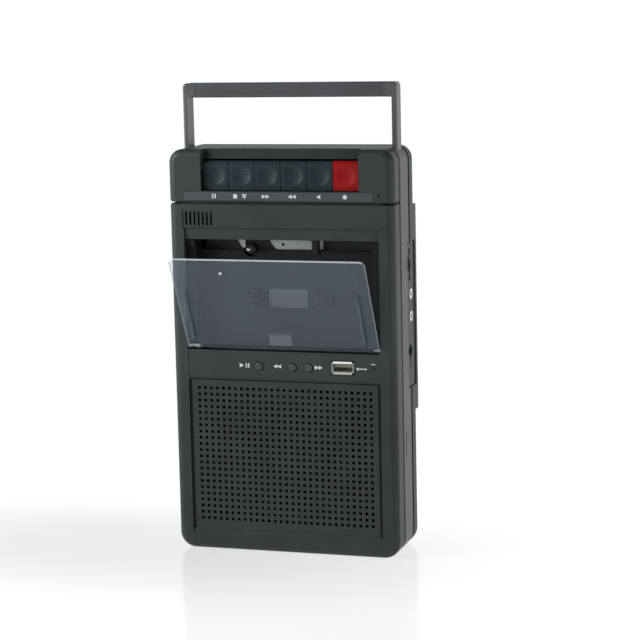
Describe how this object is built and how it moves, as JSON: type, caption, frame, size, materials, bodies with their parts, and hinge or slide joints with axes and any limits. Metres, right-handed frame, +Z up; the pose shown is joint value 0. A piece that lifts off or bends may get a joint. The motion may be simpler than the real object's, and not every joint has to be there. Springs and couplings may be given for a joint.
{
  "type": "portable cassette player",
  "caption": "Flat upright cassette player with a carry handle, a row of piano keys, an open clear lid and a square-holed speaker grille.",
  "frame": {"origin": "middle of the flat base end, on the surface the player stands on", "axes": "+Z up along the body towards the handle, -Y out of the front with the grille and lid, +X to the right as seen from the front, towards the sockets"},
  "size_m": [0.1372, 0.0832, 0.2752],
  "materials": {
    "case_plastic": "fine spark-eroded texture, dark charcoal with a green cast",
    "band_plastic": "fine texture, dark grey",
    "legend_bar": "satin blue-grey insert",
    "key_plastic": "semi-gloss blue-black",
    "record_key_red": "semi-gloss red",
    "lid_smoke": "clear acrylic with a light smoke tint",
    "clear_tab": "translucent spring clip",
    "handle_plastic": "semi-gloss dark grey",
    "grip_plastic": "ribbed, dark grey",
    "deck_black": "black coated pressing",
    "zinc_steel": "bright zinc plate",
    "spindle_plastic": "black acetal",
    "bright_chrome": "polished",
    "flywheel_metal": "turned and coated",
    "motor_steel": "drawn can",
    "pulley_brass": "turned",
    "black_rubber": "satin rubber",
    "bearing_black": "moulded",
    "spring_steel": "drawn wire",
    "screw_steel": "black oxide",
    "circuit_green": "solder mask",
    "component_black": "moulded packages and sleeves",
    "jack_plastic": "black moulding",
    "speaker_paper": "pressed paper cone",
    "speaker_steel": "plated pressing",
    "magnet_ferrite": "ferrite ring and plated yoke",
    "led_lens": "tinted lens, unlit",
    "button_grey": "satin grey-black",
    "contact_nickel": "nickel plate",
    "tongue_plastic": "black liner"
  },
  "bodies": {
    "case": {"front_shell": "case_plastic", "speaker_grille": "case_plastic", "key_housing": "case_plastic", "legend_strip": "legend_bar", "mid_frame": "band_plastic", "rear_cover": "case_plastic", "case_screws": "screw_steel", "jack_plate": "case_plastic", "audio_jacks": "bright_chrome", "dc_jack": "jack_plastic", "lid_hinge_pins": "zinc_steel", "lid_spring": "spring_steel", "key_shaft": "zinc_steel", "key_return_springs": "spring_steel", "well_tray": "case_plastic", "deck_chassis": "deck_black", "small_screws": "zinc_steel", "capstan_bearing": "bearing_black", "flywheel_bracket": "zinc_steel", "motor": "motor_steel", "drive_belt": "black_rubber", "sled_spring": "spring_steel", "button_board": "circuit_green", "usb_socket": "bright_chrome", "usb_tongue": "tongue_plastic", "power_led": "led_lens", "speaker_frame": "speaker_steel", "speaker_cone": "speaker_paper", "speaker_magnet": "magnet_ferrite", "main_board": "circuit_green", "board_parts": "component_black", "microphone": "motor_steel", "battery_contacts": "contact_nickel"},
    "lid": {"cassette_lid": "lid_smoke", "lid_leaf_spring": "clear_tab"},
    "handle": {"handle_frame": "handle_plastic", "handle_grip": "grip_plastic"},
    "pause_key": {"key_pause": "key_plastic"},
    "stop_eject_key": {"key_stop_eject": "key_plastic"},
    "fast_forward_key": {"key_fast_forward": "key_plastic"},
    "rewind_key": {"key_rewind": "key_plastic"},
    "play_key": {"key_play": "key_plastic"},
    "record_key": {"key_record": "record_key_red"},
    "play_pause_button": {"button_play_pause": "button_grey"},
    "forward_button": {"button_forward": "button_grey"},
    "rewind_button": {"button_rewind": "button_grey"},
    "volume": {"volume_wheel": "key_plastic"},
    "supply_reel": {"supply_spindle": "spindle_plastic"},
    "takeup_reel": {"takeup_spindle": "spindle_plastic"},
    "capstan_wheel": {"capstan": "bright_chrome", "flywheel": "flywheel_metal"},
    "idler": {"idler_wheel": "spindle_plastic", "idler_tyre": "black_rubber"},
    "pulley": {"motor_pulley": "pulley_brass"},
    "sled": {"head_sled": "zinc_steel", "record_play_head": "bright_chrome", "erase_head": "bearing_black"},
    "pinch_lever": {"pinch_arm": "zinc_steel"},
    "roller": {"pinch_roller": "black_rubber"},
    "door": {"battery_door": "case_plastic"}
  },
  "joints": [
    {"name": "lid_hinge", "type": "hinge", "parent": "case", "child": "lid", "pos_m": [0, -0.022, 0.1229], "axis": [1, 0, 0], "range_deg": [-28, 0], "stiffness_Nm_per_rad": 0.006, "springref_deg": 28.65},
    {"name": "handle_slide", "type": "slide", "parent": "case", "child": "handle", "axis": [0, 0, 1], "range_m": [-0.028, 0]},
    {"name": "pause_press", "type": "hinge", "parent": "case", "child": "pause_key", "pos_m": [0, -0.016, 0.2], "axis": [1, 0, 0], "range_deg": [-9, 0], "stiffness_Nm_per_rad": 0.12, "springref_deg": 20.05},
    {"name": "stop_eject_press", "type": "hinge", "parent": "case", "child": "stop_eject_key", "pos_m": [0, -0.016, 0.2], "axis": [1, 0, 0], "range_deg": [-9, 0], "stiffness_Nm_per_rad": 0.12, "springref_deg": 20.05},
    {"name": "fast_forward_press", "type": "hinge", "parent": "case", "child": "fast_forward_key", "pos_m": [0, -0.016, 0.2], "axis": [1, 0, 0], "range_deg": [-9, 0], "stiffness_Nm_per_rad": 0.12, "springref_deg": 20.05},
    {"name": "rewind_press", "type": "hinge", "parent": "case", "child": "rewind_key", "pos_m": [0, -0.016, 0.2], "axis": [1, 0, 0], "range_deg": [-9, 0], "stiffness_Nm_per_rad": 0.12, "springref_deg": 20.05},
    {"name": "play_press", "type": "hinge", "parent": "case", "child": "play_key", "pos_m": [0, -0.016, 0.2], "axis": [1, 0, 0], "range_deg": [-9, 0], "stiffness_Nm_per_rad": 0.12, "springref_deg": 20.05},
    {"name": "record_press", "type": "hinge", "parent": "case", "child": "record_key", "pos_m": [0, -0.016, 0.2], "axis": [1, 0, 0], "range_deg": [-9, 0], "stiffness_Nm_per_rad": 0.12, "springref_deg": 20.05},
    {"name": "play_pause_push", "type": "slide", "parent": "case", "child": "play_pause_button", "axis": [0, 1, 0], "range_m": [0, 0.0008], "stiffness_N_per_m": 600, "springref_m": -0.0008},
    {"name": "forward_push", "type": "slide", "parent": "case", "child": "forward_button", "axis": [0, 1, 0], "range_m": [0, 0.0008], "stiffness_N_per_m": 600, "springref_m": -0.0008},
    {"name": "rewind_push", "type": "slide", "parent": "case", "child": "rewind_button", "axis": [0, 1, 0], "range_m": [0, 0.0008], "stiffness_N_per_m": 600, "springref_m": -0.0008},
    {"name": "volume_turn", "type": "hinge", "parent": "case", "child": "volume", "pos_m": [0.0562, 0.0088, 0.1688], "axis": [0, 1, 0], "range_deg": [-140, 140]},
    {"name": "supply_spin", "type": "hinge", "parent": "case", "child": "supply_reel", "pos_m": [0.02125, -0.01, 0.15], "axis": [0, 1, 0], "continuous": true},
    {"name": "takeup_spin", "type": "hinge", "parent": "case", "child": "takeup_reel", "pos_m": [-0.02125, -0.01, 0.15], "axis": [0, 1, 0], "continuous": true},
    {"name": "capstan_spin", "type": "hinge", "parent": "case", "child": "capstan_wheel", "pos_m": [-0.0228, 0, 0.179], "axis": [0, 1, 0], "continuous": true},
    {"name": "idler_spin", "type": "hinge", "parent": "case", "child": "idler", "pos_m": [-0.02813, -0.0025, 0.16808], "axis": [0, 1, 0], "continuous": true},
    {"name": "pulley_spin", "type": "hinge", "parent": "case", "child": "pulley", "pos_m": [0.022, 0.016, 0.178], "axis": [0, 1, 0], "continuous": true},
    {"name": "sled_slide", "type": "slide", "parent": "case", "child": "sled", "axis": [0, 0, -1], "range_m": [0, 0.004], "deforming": ["sled_spring"]},
    {"name": "pinch_swing", "type": "hinge", "parent": "case", "child": "pinch_lever", "pos_m": [-0.038, -0.009, 0.19], "axis": [0, 1, 0], "range_deg": [0, 21.5]},
    {"name": "roller_spin", "type": "hinge", "parent": "pinch_lever", "child": "roller", "pos_m": [-0.02364, -0.0135, 0.19], "axis": [0, 1, 0], "continuous": true},
    {"name": "door_lift", "type": "slide", "parent": "case", "child": "door", "axis": [0, 1, 0], "range_m": [0, 0.02]}
  ],
  "couplings": [
    {"joint": "takeup_spin", "follows": "capstan_spin", "ratio": 0.4},
    {"joint": "idler_spin", "follows": "capstan_spin", "ratio": -0.66667},
    {"joint": "pulley_spin", "follows": "capstan_spin", "ratio": 5.2381},
    {"joint": "sled_slide", "follows": "play_press", "m_per_rad": -0.025465},
    {"joint": "pinch_swing", "follows": "play_press", "ratio": -2.3333}
  ]
}
